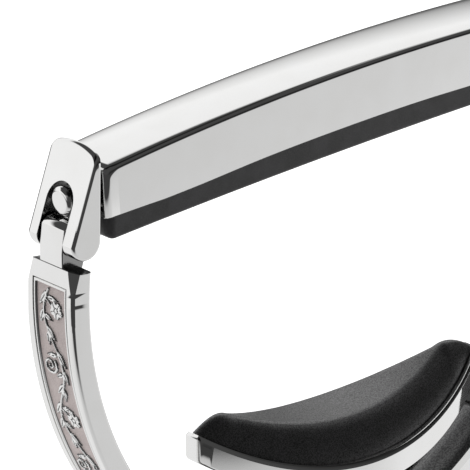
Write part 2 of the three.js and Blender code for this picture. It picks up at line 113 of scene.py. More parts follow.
BAR_BOTTOM = (2.32, 480.0)
BAR_EDGE = (7.47, 290.0)
BAR_EDGE_RADIUS = 0.5
BAR_CORNER_TURN = math.radians(71)
BAR_HALF = BAR_HIGH[0]
BAR_WIDTH = BAR_HIGH[1] - BAR_LOW[1]

SADDLE_HALF_LENGTH = 17.1
SADDLE_HALF_WIDTH = 5.6
SADDLE_PLAN_RADIUS = 33.8
LIP = (-29.7, 29.9)
SADDLE_WALL = 2.75
SADDLE_LEAN = math.radians(3.1)
ROCKER_Z = -34.6
PAD_TOP = (-26.25, 34.0)
PAD_INSET = 0.6
PAD_END_INSET = 0.2
PAD_SIDE = 2.4
PAD_END = 3.8
LATCH_RELEASED = math.radians(40)


# ---------------------------------------------------------------- mesh tools
def add_object(name, data):
    obj = bpy.data.objects.new(name, data)
    bpy.context.scene.collection.objects.link(obj)
    return obj


def new_object(name, verts, faces):
    mesh = bpy.data.meshes.new(name)
    mesh.from_pydata([tuple(v) for v in verts], [], [tuple(f) for f in faces])
    mesh.validate()
    obj = add_object(name, mesh)
    recalculate_normals(mesh)
    return obj


def recalculate_normals(mesh):
    bm = bmesh.new()
    bm.from_mesh(mesh)
    bmesh.ops.recalc_face_normals(bm, faces=bm.faces)
    bm.to_mesh(mesh)
    bm.free()


def prism(name, outline, y_low, y_high):
    """An outline in the XZ plane, given width along Y."""
    n = len(outline)
    verts = [(x, y_low, z) for x, z in outline] + [(x, y_high, z) for x, z in outline]
    faces = [(i, (i + 1) % n, n + (i + 1) % n, n + i) for i in range(n)]
    faces += [tuple(range(n))[::-1], tuple(range(n, 2 * n))]
    return new_object(name, verts, faces)


def loft(name, rings):
    """A closed skin over rings of points, all with the same number of points."""
    rings = [np.asarray(r, float) for r in rings]
    k = len(rings[0])
    verts = [tuple(p) for r in rings for p in r]
    faces = []
    for s in range(len(rings) - 1):
        a, b = s * k, (s + 1) * k
        faces += [(a + i, b + i, b + (i + 1) % k, a + (i + 1) % k) for i in range(k)]
    last = (len(rings) - 1) * k
    faces += [tuple(range(k)), tuple(range(last, last + k))[::-1]]
    return new_object(name, verts, faces)


def lathe(name, profile, segments=96, axis="z", centre=(0, 0, 0)):
    """A closed profile of (radius, height) pairs turned about an axis."""
    verts, faces = [], []
    n = len(profile)
    for s in range(segments):
        a = 2 * math.pi * s / segments
        for r, h in profile:
            p = {
                "z": (r * math.cos(a), r * math.sin(a), h),
                "y": (r * math.cos(a), h, r * math.sin(a)),
                "x": (h, r * math.cos(a), r * math.sin(a)),
            }[axis]
            verts.append(tuple(np.array(p) + np.array(centre)))
    for s in range(segments):
        t = (s + 1) % segments
        for i in range(n):
            j = (i + 1) % n
            faces.append((s * n + i, s * n + j, t * n + j, t * n + i))
    obj = new_object(name, verts, faces)
    weld(obj.data, 1e-4)
    return obj


def skin_faces(rows, n):
    """Quads between closed rows of n points each."""
    faces = []
    for r in range(rows - 1):
        for i in range(n):
            j = (i + 1) % n
            faces.append((r * n + i, r * n + j, (r + 1) * n + j, (r + 1) * n + i))
    return faces


def cap_faces(row, n):
    """Strips across one closed row whose two halves mirror each other."""
    a = row * n
    return [(a + i, a + i + 1, a + n - 2 - i, a + n - 1 - i) for i in range(n // 2 - 1)]


def mirrored(outline, side):
    """An XZ outline drawn for the left side (-1), flipped for the right one."""
    return outline if side < 0 else [(-x, z) for x, z in outline]


def weld(mesh, distance):
    bm = bmesh.new()
    bm.from_mesh(mesh)
    bmesh.ops.remove_doubles(bm, verts=bm.verts, dist=distance)
    bmesh.ops.dissolve_degenerate(bm, edges=bm.edges, dist=distance)
    bmesh.ops.recalc_face_normals(bm, faces=bm.faces)
    bm.to_mesh(mesh)
    bm.free()


def rounded(profile, radius, steps=5):
    """A closed (radius, height) profile with its corners rounded off where there is room."""
    out = []
    n = len(profile)
    for i in range(n):
        p0, p1, p2 = (np.array(profile[(i + d) % n], float) for d in (-1, 0, 1))
        a, b = p0 - p1, p2 - p1
        la, lb = np.linalg.norm(a), np.linalg.norm(b)
        if la < 1e-9 or lb < 1e-9 or p1[0] < 1e-6:
            out.append(tuple(p1))
            continue
        r = min(radius, 0.42 * la, 0.42 * lb)
        start, end = p1 + a / la * r, p1 + b / lb * r
        for s in range(steps + 1):
            t = s / steps
            out.append(tuple((1 - t) ** 2 * start + 2 * t * (1 - t) * p1 + t**2 * end))
    return out


def block_profile(inner, outer, low, high):
    """A rectangular (radius, height) profile."""
    return [(inner, low), (outer, low), (outer, high), (inner, high)]


def cross_pin(name, radius, half_length, edge, segments, centre):
    """A round pin along Y with rounded edges."""
    profile = rounded(block_profile(0, radius, -half_length, half_length), edge)
    return lathe(name, profile, segments, "y", centre)


def apply_modifiers(obj):
    depsgraph = bpy.context.evaluated_depsgraph_get()
    mesh = bpy.data.meshes.new_from_object(obj.evaluated_get(depsgraph))
    obj.modifiers.clear()
    obj.data = mesh


def combine(obj, other, operation):
    """obj united with, cut by or crossed with other, which is used up."""
    modifier = obj.modifiers.new("combine", "BOOLEAN")
    modifier.operation = operation
    modifier.solver = "EXACT"
    modifier.object = other
    apply_modifiers(obj)
    bpy.data.objects.remove(other)
    return obj


def bevel(obj, width, segments=3, angle=30):
    modifier = obj.modifiers.new("bevel", "BEVEL")
    modifier.width = width
    modifier.segments = segments
    modifier.limit_method = "ANGLE"
    modifier.angle_limit = math.radians(angle)
    modifier.miter_outer = "MITER_ARC"
    modifier.use_clamp_overlap = False
    apply_modifiers(obj)
    return obj


def turn_about_y(obj, x, z, angle):
    there = Matrix.Translation((x, 0, z))
    obj.data.transform(there @ Matrix.Rotation(angle, 4, "Y") @ there.inverted())
    return obj


def finish_piece(obj, body, materials, replaces=(), sharp=40, flat_faces=True):
    """Scales a piece to metres and hands it to the frame."""
    mesh = obj.data
    mesh.transform(Matrix.Scale(MM, 4))
    mesh.materials.clear()
    for material in materials:
        mesh.materials.append(material)
    mesh.shade_smooth()
    mesh.set_sharp_from_angle(angle=math.radians(sharp))
    if flat_faces:
        modifier = obj.modifiers.new("weighted_normals", "WEIGHTED_NORMAL")
        modifier.keep_sharp = True
        modifier.weight = 100
        apply_modifiers(obj)
    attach(obj, body)
    if replaces:
        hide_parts(*replaces)
    return obj


def finish_steel(obj, body, node, sharp=40):
    return finish_piece(obj, body, [STEEL], [node], sharp)


def paint(obj, index, inside):
    """Gives the faces for which inside(centre in mm, normal) is true another of the piece's materials."""
    for polygon in obj.data.polygons:
        if inside(polygon.center / MM, polygon.normal):
            polygon.material_index = index


def arc_points(cx, cz, radius, start, end, steps):
    angles = np.radians(np.linspace(start, end, steps + 1))
    return [(cx + radius * math.cos(a), cz + radius * math.sin(a)) for a in angles]


def arch(curve, x):
    """Height at x of an arc whose top is at x = 0; curve is (height, radius)."""
    return curve[0] - (curve[1] - math.sqrt(curve[1] ** 2 - x * x))


def bowl(curve, x):
    return curve[0] + (curve[1] - math.sqrt(curve[1] ** 2 - x * x))


# ---------------------------------------------------------------- materials
def material(name):
    made = bpy.data.materials.new(name)
    made.use_nodes = True
    return made, made.node_tree.nodes, made.node_tree.links


def noise(nodes, links, scale, detail=4.0, roughness=0.55):
    where = nodes.new("ShaderNodeTexCoord")
    texture = nodes.new("ShaderNodeTexNoise")
    texture.inputs["Scale"].default_value = scale
    texture.inputs["Detail"].default_value = detail
    texture.inputs["Roughness"].default_value = roughness
    links.new(where.outputs["Object"], texture.inputs["Vector"])
    return texture


def ramp(nodes, links, source, low, high, at=(0.35, 0.65)):
    """Maps a 0-1 value to a colour or grey between low and high."""
    stops = nodes.new("ShaderNodeValToRGB")
    stops.color_ramp.elements[0].position = at[0]
    stops.color_ramp.elements[1].position = at[1]
    stops.color_ramp.elements[0].color = low if len(low) == 4 else (*low, 1)
    stops.color_ramp.elements[1].color = high if len(high) == 4 else (*high, 1)
    links.new(source, stops.inputs["Fac"])
    return stops.outputs["Color"]


def bump(nodes, links, height, strength, distance, before=None):
    node = nodes.new("ShaderNodeBump")
    node.inputs["Strength"].default_value = strength
    node.inputs["Distance"].default_value = distance
    links.new(height, node.inputs["Height"])
    if before is not None:
        links.new(before, node.inputs["Normal"])
    return node.outputs["Normal"]


def map_range(nodes, links, source, span, low, high=1.0, smooth=False):
    """Maps a value from span to low..high."""
    node = nodes.new("ShaderNodeMapRange")
    if smooth:
        node.interpolation_type = "SMOOTHSTEP"
    node.inputs["From Min"].default_value = span[0]
    node.inputs["From Max"].default_value = span[1]
    node.inputs["To Min"].default_value = low
    node.inputs["To Max"].default_value = high
    links.new(source, node.inputs["Value"])
    return node.outputs["Result"]


def grey(v):
    return (v, v, v)


def polished_steel(name, tone=0.84, rough=(0.035, 0.085)):
    made, nodes, links = material(name)
    shader = nodes["Principled BSDF"]
    shader.inputs["Metallic"].default_value = 1.0
    smudge = noise(nodes, links, 260.0, 5.0)
    fine = noise(nodes, links, 3800.0, 2.0)
    dull, bright = (tone * 0.975, tone * 0.972, tone * 0.962), (tone, tone, tone * 0.995)
    links.new(ramp(nodes, links, smudge.outputs["Fac"], dull, bright), shader.inputs["Base Color"])
    polish = ramp(nodes, links, smudge.outputs["Fac"], grey(rough[0]), grey(rough[1]))
    links.new(polish, shader.inputs["Roughness"])
    links.new(bump(nodes, links, fine.outputs["Fac"], 0.05, 0.00001), shader.inputs["Normal"])
    return made


def etched_steel(name):
    made, nodes, links = material(name)
    shader = nodes["Principled BSDF"]
    shader.inputs["Metallic"].default_value = 0.55
    shader.inputs["Roughness"].default_value = 0.62
    grain = noise(nodes, links, 9000.0, 3.0)
    cloud = noise(nodes, links, 700.0, 3.0)
    mix = nodes.new("ShaderNodeMix")
    mix.data_type = "RGBA"
    mix.inputs["Factor"].default_value = 0.5
    grains = ramp(nodes, links, grain.outputs["Fac"], (0.62, 0.545, 0.53), (0.90, 0.81, 0.79))
    clouds = ramp(nodes, links, cloud.outputs["Fac"], (0.68, 0.60, 0.585), (0.82, 0.735, 0.715))
    links.new(grains, mix.inputs["A"])
    links.new(clouds, mix.inputs["B"])
    links.new(mix.outputs["Result"], shader.inputs["Base Color"])
    links.new(bump(nodes, links, grain.outputs["Fac"], 0.5, 0.00003), shader.inputs["Normal"])
    return made


def silicone(name, tone=0.03, rough=0.34, grain_scale=8500.0, shine=(0.5, 1.9), bloom=0.75):
    """Moulded rubber with a fine grain that sparkles where light grazes it."""
    made, nodes, links = material(name)
    shader = nodes["Principled BSDF"]
    shader.inputs["Roughness"].default_value = rough
    speck = noise(nodes, links, grain_scale, 2.0, 0.6)
    cloud = noise(nodes, links, grain_scale * 0.06, 2.0)
    low, high = grey(tone * 0.85), (tone * 1.3, tone * 1.28, tone * 1.34)
    links.new(ramp(nodes, links, cloud.outputs["Fac"], low, high), shader.inputs["Base Color"])
    spark = map_range(nodes, links, speck.outputs["Fac"], (0.38, 0.62), *shine)
    links.new(spark, shader.inputs["Specular IOR Level"])
    dust = map_range(nodes, links, speck.outputs["Fac"], (0.40, 0.60), 0.0, bloom)
    links.new(dust, shader.inputs["Sheen Weight"])
    shader.inputs["Sheen Roughness"].default_value = 0.35
    soft = bump(nodes, links, cloud.outputs["Fac"], 0.06, 0.0002)
    links.new(bump(nodes, links, speck.outputs["Fac"], 0.25, 0.00003, soft), shader.inputs["Normal"])
    return made


def turned_brass(name):
    made, nodes, links = material(name)
    shader = nodes["Principled BSDF"]
    shader.inputs["Metallic"].default_value = 1.0
    shader.inputs["Roughness"].default_value = 0.28
    cloud = noise(nodes, links, 900.0, 3.0)
    tint = ramp(nodes, links, cloud.outputs["Fac"], (0.60, 0.46, 0.21), (0.72, 0.58, 0.30))
    links.new(tint, shader.inputs["Base Color"])
    return made


STEEL = polished_steel("polished_steel")
STEEL_DARK = polished_steel("polished_steel_inner", tone=0.62, rough=(0.10, 0.2))
RELIEF = polished_steel("polished_relief", tone=0.86, rough=(0.14, 0.26))
ETCHED = etched_steel("etched_steel")
# A darker copy of the polished steel: painted shade for the hinge block's slot and pocket, the tongue's
# sides and the scooped shoulders.
POCKET_SHADE_STEEL = polished_steel("polished_steel_pocket_painted_shade", tone=0.34, rough=(0.12, 0.25))
# Very dark steel on the relief's sloping walls: painted shade that draws dark outlines round the vine.
ETCH_WALL_SHADE = polished_steel("etched_wall_painted_shade", tone=0.16, rough=(0.35, 0.5))
SILICONE = silicone("black_silicone")
STRIP_SILICONE = silicone("black_silicone_strip", tone=0.06, rough=0.45, shine=(0.4, 0.7), bloom=0.05)
RUBBER = silicone("black_rubber", rough=0.34, grain_scale=6500.0)
BRASS = turned_brass("turned_brass")


# ---------------------------------------------------------------- camera
AZIMUTH, ELEVATION, ROLL = -39.534, 22.745, -2.65
TARGET = Vector((-10.345, 0, -5.938)) * MM
DISTANCE = 0.708
PIXELS_PER_MM = 11.111
FRAME_PIXELS = 470
SENSOR_WIDTH = 36


def make_camera():
    data = bpy.data.cameras.new("camera")
    data.sensor_width = SENSOR_WIDTH
    data.lens = PIXELS_PER_MM / MM * DISTANCE * SENSOR_WIDTH / FRAME_PIXELS
    data.clip_start, data.clip_end = 0.05, 20
    camera = add_object("camera", data)
    a, e, roll = (math.radians(v) for v in (AZIMUTH, ELEVATION, ROLL))
    back = Vector((math.sin(a) * math.cos(e), -math.cos(a) * math.cos(e), math.sin(e)))
    right = Vector((math.cos(a), math.sin(a), 0))
    up = back.cross(right)
    turned_right = right * math.cos(roll) + up * math.sin(roll)
    turned_up = up * math.cos(roll) - right * math.sin(roll)
    matrix = Matrix((turned_right, turned_up, back)).transposed().to_4x4()
    matrix.translation = TARGET + back * DISTANCE
    camera.matrix_world = matrix
    bpy.context.scene.camera = camera


make_camera()


# ---------------------------------------------------------------- yoke
def yoke_arc(curve, degrees, radius=None):
    a = math.radians(degrees)
    r = curve["radius"] if radius is None else radius
    return (curve["offset"] - r * math.cos(a), curve["z"] - r * math.sin(a))


OUTER_END = math.degrees(math.acos(OUTER["offset"] / OUTER["radius"]))
INNER_END = math.degrees(math.acos(INNER["offset"] / INNER["radius"]))


def station_angle(i):
    return YOKE_TOP_ANGLE + (OUTER_END - YOKE_TOP_ANGLE) * i / YOKE_STATIONS


PANEL_ANGLES = (station_angle(PANEL_FIRST), station_angle(PANEL_LAST))


def shoulder_wedge(side, front):
    """A chamfer on the yoke's outer corner, widest at the shoulder and run out lower down."""
    half, reach = YOKE_WIDTH / 2, 0.7
    rings = []
    for z, wide in ((-1.5, 0.95), (-2.3, 0.8), (-4.4, 0.28), (-9.5, 0.0)):
        x = outer_x(z)
        section = [(x + wide + reach, half + reach), (x - reach, half - wide - reach)]
        section.append((x - reach, half + reach))
        rings.append([(px * -side, py * front, z) for px, py in section])
    return loft("shoulder_wedge", rings)


def shoulder_scoop(side):
    """The hollow under the hinge block's foot, and everything above it."""
    x, half = side * PIVOT[0], YOKE_WIDTH / 2
    bottom = [p for p in arc_points(x, *SCOOP, 180, 360, 60) if p[1] < -0.6]
    outline = [(x - 6, -0.6), *bottom, (x + 6, -0.6), (x + 6, 5), (x - 6, 5)]
    return prism("scoop", outline, -half - 1, half + 1)


def back_corner(side):
    """What is rounded off the shoulder's back corner."""
    half, r = YOKE_WIDTH / 2, 0.9
    top = SCOOP[0] - math.sqrt(SCOOP[1] ** 2 - 1.7**2)
    section = arc_points(half - r, top - r, r, 0, 90, 12)
    section += [(half - r, 0), (half + 1, 0), (half + 1, top - r)]
    return loft("back_corner", [[(x, y, z) for y, z in section] for x in (side * 27, side * 34)])


def outer_x(z):
    """X of the yoke's left outer face at a height."""
    return OUTER["offset"] - math.sqrt(OUTER["radius"] ** 2 - (z - OUTER["z"]) ** 2)


def yoke_ring(outer, inner):
    """One cross-section of the yoke between a point of each arc: a rectangle with rounded corners."""
    outer, inner = np.array(outer), np.array(inner)
    thickness = np.linalg.norm(outer - inner)
    across = (outer - inner) / thickness
    half, r = YOKE_WIDTH / 2, YOKE_EDGE_RADIUS
    ring = []
    corners = ((thickness - r, half - r), (r, half - r), (r, r - half), (thickness - r, r - half))
    for quarter, (u0, y0) in enumerate(corners):
        for turn in np.radians(np.linspace(90 * quarter, 90 * quarter + 90, 6)):
            x, z = inner + across * (u0 + r * math.cos(turn))
            ring.append((x, y0 + r * math.sin(turn), z))
    return ring


def yoke_band():
    """The C-shaped band, from the left shoulder round to the right one."""
    stations = 110
    left = []
    for i in range(stations + 1):
        outer = yoke_arc(OUTER, YOKE_TOP_ANGLE + (OUTER_END - YOKE_TOP_ANGLE) * i / stations)
        inner = yoke_arc(INNER, YOKE_TOP_ANGLE + (INNER_END - YOKE_TOP_ANGLE) * i / stations)
        left.append(yoke_ring(outer, inner))
    right = [[(-x, y, z) for x, y, z in ring] for ring in left[-2::-1]]
    return loft("yoke", left + right)


def tongue_outline():
    """The left hinge tongue: an eye round the pivot on a root that runs into the yoke."""
    crown = arc_points(-PIVOT[0], PIVOT[1], 1.6, 0, 139, 36)
    return [*crown, (-31.47, -0.9), (-31.6, -3.6), (-29.9, -4.6), (-28.5, -0.9)]


def yoke_sector(name, curve, radii, angles, count, half, side):
    """A curved slab between two radii of one of the yoke's arcs and two angles."""
    turns = np.linspace(*angles, count)
    outline = [yoke_arc(curve, a, radii[0]) for a in turns]
    outline += [yoke_arc(curve, a, radii[1]) for a in turns[::-1]]
    return prism(name, mirrored(outline, side), -half, half)


def build_yoke():
    """Band, tongues, recesses, seats and boss. Unlike the CAD yoke it isn't bored for the bushing."""
    yoke = yoke_band()
    half = YOKE_WIDTH / 2
    for side in (-1, 1):
        combine(yoke, shoulder_scoop(side), "DIFFERENCE")
        combine(yoke, back_corner(side), "DIFFERENCE")
        tongue = prism("tongue", mirrored(tongue_outline(), side), -TONGUE_HALF, TONGUE_HALF)
        combine(yoke, bevel(tongue, 0.12, 3, 60), "UNION")
        radii = (38.5, OUTER["radius"] - PANEL_RECESS)
        recess = yoke_sector("recess", OUTER, radii, PANEL_ANGLES, 90, PANEL_HALF + 0.06, side)
        combine(yoke, recess, "DIFFERENCE")
        for front in (-1, 1):
            combine(yoke, shoulder_wedge(side, front), "DIFFERENCE")
        seat = yoke_sector("seat", INNER, (SEAT_BACK_RADIUS, SEAT_RADIUS), SEAT_ANGLES, 40, half, side)
        combine(yoke, seat, "UNION")
        radii = (INNER["radius"], SEAT_RADIUS - 1.05)
        angles = (LINER_ANGLES[0] - 0.1, LINER_ANGLES[1] + 0.1)
        channel = yoke_sector("channel", INNER, radii, angles, 40, LINER_HALF + 0.05, side)
        combine(yoke, channel, "DIFFERENCE")
    boss = lathe("boss", rounded(block_profile(0, 5, BOSS_BOTTOM, -41.15), 0.3))
    combine(yoke, boss, "UNION")
    finish_piece(yoke, "yoke", [STEEL, POCKET_SHADE_STEEL], ["yoke_frame"])
    # the tongue's sides and the scooped shoulders get the darker steel: painted shade
    paint(yoke, 1, beside_tongue)


def beside_tongue(centre, normal):
    """True for the tongue's sides and the scooped shoulders next to it, which get the darker steel as
    painted shade.
    """
    x, y, z = centre
    sides = abs(abs(y) - TONGUE_HALF) < 0.01 and z > -3.2 and abs(x) > 28 and abs(normal.y) > 0.99
    shoulders = abs(math.hypot(abs(x) - PIVOT[0], z - SCOOP[0]) - SCOOP[1]) < 0.03 and normal.z > 0.5
    return sides or shoulders


# ---------------------------------------------------------------- engraved panels
def vine_height(s, t, length):
    """Relief height, 0 to 1, of a generic climbing vine at s along and t across the panel, in mm."""
    height = np.zeros_like(s)

    def raise_to(value):
        np.maximum(height, value, out=height)

    def profile(distance, width):
        return np.clip((width - distance) / 0.07 + 0.5, 0, 1)

    def stroke(points, widths):
        points = np.asarray(points)
        for (p, q), w in zip(zip(points[:-1], points[1:]), widths):
            d = q - p
            near = (np.abs(s - (p[0] + q[0]) / 2) < abs(d[0]) / 2 + 0.6)
            ss, tt = s[near], t[near]
            u = np.clip(((ss - p[0]) * d[0] + (tt - p[1]) * d[1]) / max(d @ d, 1e-9), 0, 1)
            dist = np.hypot(ss - p[0] - u * d[0], tt - p[1] - u * d[1])
            height[near] = np.maximum(height[near], profile(dist, w))

    def leaf(s0, t0, angle, size, width):
        c, n = math.cos(angle), math.sin(angle)
        a = (s - s0) * c + (t - t0) * n
        b = -(s - s0) * n + (t - t0) * c
        u = np.clip(a / size, 0, 1)
        half = width * np.sin(np.pi * u**0.75) * (1 - 0.35 * u)
        inside = (a > 0) & (a < size)
        blade = np.where(inside, profile(np.abs(b), half), 0)
        vein = np.where(inside & (u > 0.12) & (u < 0.8), np.clip(1 - np.abs(b) / 0.05, 0, 1), 0)
        raise_to(np.clip(blade - 0.8 * vein, 0, 1))

    def blossom(s0, t0, size, turn):
        r = np.hypot(s - s0, t - t0)
        phi = np.arctan2(t - t0, s - s0) + turn
        edge = size * (0.66 + 0.34 * np.abs(np.cos(2.5 * phi)) ** 0.7)
        petals = profile(r, edge)
        crease = np.clip(1 - np.abs(np.sin(2.5 * phi)) * r / 0.09, 0, 1) * (r > size * 0.34) * (r < edge)
        heart = np.clip(1 - np.abs(r - size * 0.28) / 0.05, 0, 1)
        raise_to(np.clip(petals - 0.85 * crease - 0.85 * heart, 0, 1))

    pitch = 5.6
    stem_s = np.linspace(0.5, length - 0.5, 220)
    stem_t = 0.95 * np.sin(2 * np.pi * stem_s / (2 * pitch))
    stroke(np.stack([stem_s, stem_t], 1), [0.11] * 219)
    count = int((length - 1.0) / pitch)
    for i in range(count + 1):
        side = 1 if i % 2 == 0 else -1
        s0 = pitch * (i + 0.5)
        if s0 > length - 1.2:
            break
        crest = 0.95 * side
        if i % 2 == 0:
            blossom(s0 - 0.35, crest - side * 1.75, 0.86, 0.4 * i)
            stalk = [(s0 - 1.2, crest * 0.7), (s0 - 0.9, crest * 0.2), (s0 - 0.55, -side * 0.25)]
            stroke(stalk, [0.08, 0.08])
        else:
            turns = np.linspace(0, 1.7 * 2 * np.pi, 40)
            radius = 0.82 * (1 - turns / turns[-1]) + 0.1
            centre = (s0 - 0.2, crest - side * 1.72)
            phase = turns + 2.2 * side
            curl_s, curl_t = centre[0] + radius * np.cos(phase), centre[1] + radius * np.sin(phase)
            stroke(np.stack([curl_s, curl_t], 1), np.linspace(0.13, 0.07, 39))
        for offset, swing, size in ((-1.9, 0.62, 1.9), (-0.1, 0.35, 1.5), (1.5, -0.75, 1.7)):
            base = s0 + offset
            root = 0.95 * math.sin(2 * np.pi * base / (2 * pitch))
            leaf(base, root, side * swing, size, 0.34)
            leaf(base + 0.5, root * 0.9, -side * (swing + 0.85), size * 0.8, 0.28)
    fade = np.clip((1.82 - np.abs(t)) / 0.08, 0, 1)
    ends = np.clip((np.minimum(s, length - s) - 0.5) / 0.08, 0, 1)
    return height * fade * ends


def build_panel(side):
    radius = PANEL_TOP_RADIUS
    pad = 0.12
    start, end = math.radians(PANEL_ANGLES[0] + pad), math.radians(PANEL_ANGLES[1] - pad)
    length = (end - start) * radius
    across = 74
    along = int(length / 0.066)
    t = np.linspace(-PANEL_HALF, PANEL_HALF, across + 1)
    s = np.linspace(0, length, along + 1)
    grid_s, grid_t = np.meshgrid(s, t, indexing="ij")
    rim = np.minimum(PANEL_HALF - np.abs(grid_t), np.minimum(grid_s, length - grid_s))
    border = np.clip((0.30 - rim) / 0.07 + 0.5, 0, 1)
    vine = vine_height(grid_s, grid_t, length)
    top = np.maximum(border, 0.88 * vine)
    depth = 0.2
    rho = radius - depth * (1 - top)
    rho -= 0.10 * np.clip((0.07 - rim) / 0.07, 0, 1)
    angle = start + grid_s / radius
    x = OUTER["offset"] - rho * np.cos(angle)
    z = OUTER["z"] - rho * np.sin(angle)
    if side > 0:
        x = -x
    verts = list(zip(x.ravel(), grid_t.ravel(), z.ravel()))
    columns = across + 1
    faces, kinds = [], []
    quad_top = (top[:-1, :-1] + top[1:, :-1] + top[:-1, 1:] + top[1:, 1:]) / 4
    for i in range(along):
        row = i * columns
        for j in range(across):
            a = row + j
            faces.append((a, a + 1, a + columns + 1, a + columns))
            # kind 2 is the sloping wall between relief and ground, which gets the painted shade
            kinds.append(1 if quad_top[i, j] > 0.62 else (2 if quad_top[i, j] > 0.16 else 0))
    count = len(verts)
    loop = list(range(columns))
    loop += [i * columns + across for i in range(1, along + 1)]
    loop += [along * columns + j for j in range(across - 1, -1, -1)]
    loop += [i * columns for i in range(along - 1, 0, -1)]
    base_x = OUTER["offset"] - PANEL_BASE_RADIUS * np.cos(angle)
    base_z = OUTER["z"] - PANEL_BASE_RADIUS * np.sin(angle)
    if side > 0:
        base_x = -base_x
    base = list(zip(base_x.ravel(), grid_t.ravel(), base_z.ravel()))
    verts += [base[k] for k in loop]
    m = len(loop)
    for k in range(m):
        faces.append((loop[k], loop[(k + 1) % m], count + (k + 1) % m, count + k))
        kinds.append(1)
    # the hidden underside: strips between the two long edges
    position = {v: count + k for k, v in enumerate(loop)}
    front = [position[i * columns] for i in range(along + 1)]
    rear = [position[i * columns + across] for i in range(along + 1)]
    for i in range(1, along - 1):
        faces.append((front[i], front[i + 1], rear[i + 1], rear[i]))
        kinds.append(1)
    end_low = [position[j] for j in range(columns)]
    end_high = [position[along * columns + j] for j in range(columns)]
    faces.append(tuple(end_low + [rear[1], front[1]]))
    faces.append(tuple(end_high + [rear[along - 1], front[along - 1]]))
    kinds += [1, 1]
    name = "panel_left" if side < 0 else "panel_right"
    mesh = bpy.data.meshes.new(name)
    mesh.from_pydata(verts, [], faces)
    for polygon, kind in zip(mesh.polygons, kinds):
        polygon.material_index = kind
    obj = add_object(name, mesh)
    recalculate_normals(mesh)
    saved = [p.material_index for p in mesh.polygons]
    node = "yoke_panel_left" if side < 0 else "yoke_panel_right"
    looks = [ETCHED, RELIEF, ETCH_WALL_SHADE]
    finish_piece(obj, "yoke", looks, [node], sharp=50, flat_faces=False)
    obj.data.polygons.foreach_set("material_index", saved)
    return obj


def build_liner(side):
    """A rubber strip lying in the seat's channel, domed across and rounded at its ends."""
    rings = []
    across = np.linspace(-1, 1, 25)
    for a in np.linspace(*LINER_ANGLES, 60):
        closeness = min(a - LINER_ANGLES[0], LINER_ANGLES[1] - a)
        end = math.sqrt(max(0.0, 1 - max(0.0, 1 - closeness / 1.2) ** 2))
        ring = [(LINER_BACK_RADIUS, LINER_HALF), (LINER_BACK_RADIUS, -LINER_HALF)]
        for u in across:
            dome = (1 - abs(u) ** 2.2) ** 0.6
            ring.append((SEAT_RADIUS + 0.6 - 0.62 * dome * end, u * LINER_HALF))
        points = [yoke_arc(INNER, a, radius) for radius, _ in ring]
        rings.append([(x if side < 0 else -x, y, z) for (x, z), (_, y) in zip(points, ring)])
    which = "left" if side < 0 else "right"
    liner = loft("liner_" + which, rings)
    node = "yoke_liner_" + which
    finish_piece(liner, "yoke", [RUBBER], [node], sharp=60, flat_faces=False)


# ---------------------------------------------------------------- hinge block, latch, pins
def lever_outline():
    foot = arc_points(-PIVOT[0], PIVOT[1], BLOCK_FOOT_RADIUS, 180, 356, 44)
    outline = [*foot, (-28.0, BLOCK_TOP[1]), BLOCK_TOP]
    return [(-x, z) for x, z in outline][::-1]


def block_top(y):
    """Height of the hinge block's ridge: a low arch with rounded shoulders."""
    half = YOKE_WIDTH / 2
    shoulder = edge_inset(half - abs(y), BLOCK_SHOULDER)
    return BLOCK_TOP[1] + 0.02 + BLOCK_CROWN * (1 - (y / half) ** 2) - shoulder


def edge_inset(distance, radius):
    """How far a rounded edge stands in, at a distance from the face it runs into."""
    if distance >= radius:
        return 0.0
    return radius - math.sqrt(max(radius**2 - (radius - distance) ** 2, 0.0))


def block_section(y):
    """Outline in XZ at one place across the block: foot, inner side, ridge with its fillet, outer face."""
    inset = edge_inset(YOKE_WIDTH / 2 - abs(y), BLOCK_EDGE_RADIUS if y < 0 else BLOCK_BACK_RADIUS)
    foot_x = PIVOT[0] + BLOCK_FOOT_RADIUS
    foot = arc_points(-PIVOT[0], PIVOT[1], BLOCK_FOOT_RADIUS - inset, 180, 356, 44)
    slope = math.atan((foot_x + BLOCK_TOP[0]) / (BLOCK_TOP[1] - PIVOT[1]))
    face = foot_x * math.cos(slope) + PIVOT[1] * math.sin(slope) - inset
    centre_z = block_top(y) - inset - BLOCK_FILLET
    centre_x = (centre_z * math.sin(slope) - face + BLOCK_FILLET) / math.cos(slope)
    inner_x = BLOCK_INNER_X - inset
    reach = min(max((inner_x - centre_x) / BLOCK_FILLET, -1.0), 0.0)
    last = math.degrees(math.acos(reach))
    fillet = arc_points(centre_x, centre_z, BLOCK_FILLET, last, 180 - math.degrees(slope), 14)
    return [*foot, (inner_x, fillet[0][1] - 0.01), *fillet]


def build_hinge_block():
    half = YOKE_WIDTH / 2
    edges = [half - BLOCK_EDGE_RADIUS * (1 - math.sin(a)) for a in np.linspace(0, math.pi / 2, 9)]
    shoulders = list(np.linspace(half - BLOCK_SHOULDER, edges[0], 8)[:-1])
    middle = list(np.linspace(0, half - BLOCK_SHOULDER, 12)[:-1])
    right = middle + shoulders + edges
    stations = [-y for y in right[:0:-1]] + right
    block = loft("hinge_block_visual", [[(x, y, z) for x, z in block_section(y)] for y in stations])
    slot = prism("slot", [(-33, -3), (-27, -3), (-27, 2.15), (-33, 2.15)], -SLOT_HALF, SLOT_HALF)
    combine(block, slot, "DIFFERENCE")
    ring = [(-SLOT_HALF, 2.0), (SLOT_HALF, 2.0)]
    ring += arc_points(0, STUD_Z, SLOT_HALF, 0, 180, 40)
    pocket = loft("pocket", [[(x, y, z) for y, z in ring] for x in (-34, POCKET_BACK)])
    combine(block, pocket, "DIFFERENCE")
    finish_piece(block, "bar", [STEEL, POCKET_SHADE_STEEL], ["hinge_block"])
    # the slot and pocket walls get the darker steel: painted shade
    paint(block, 1, in_pocket)


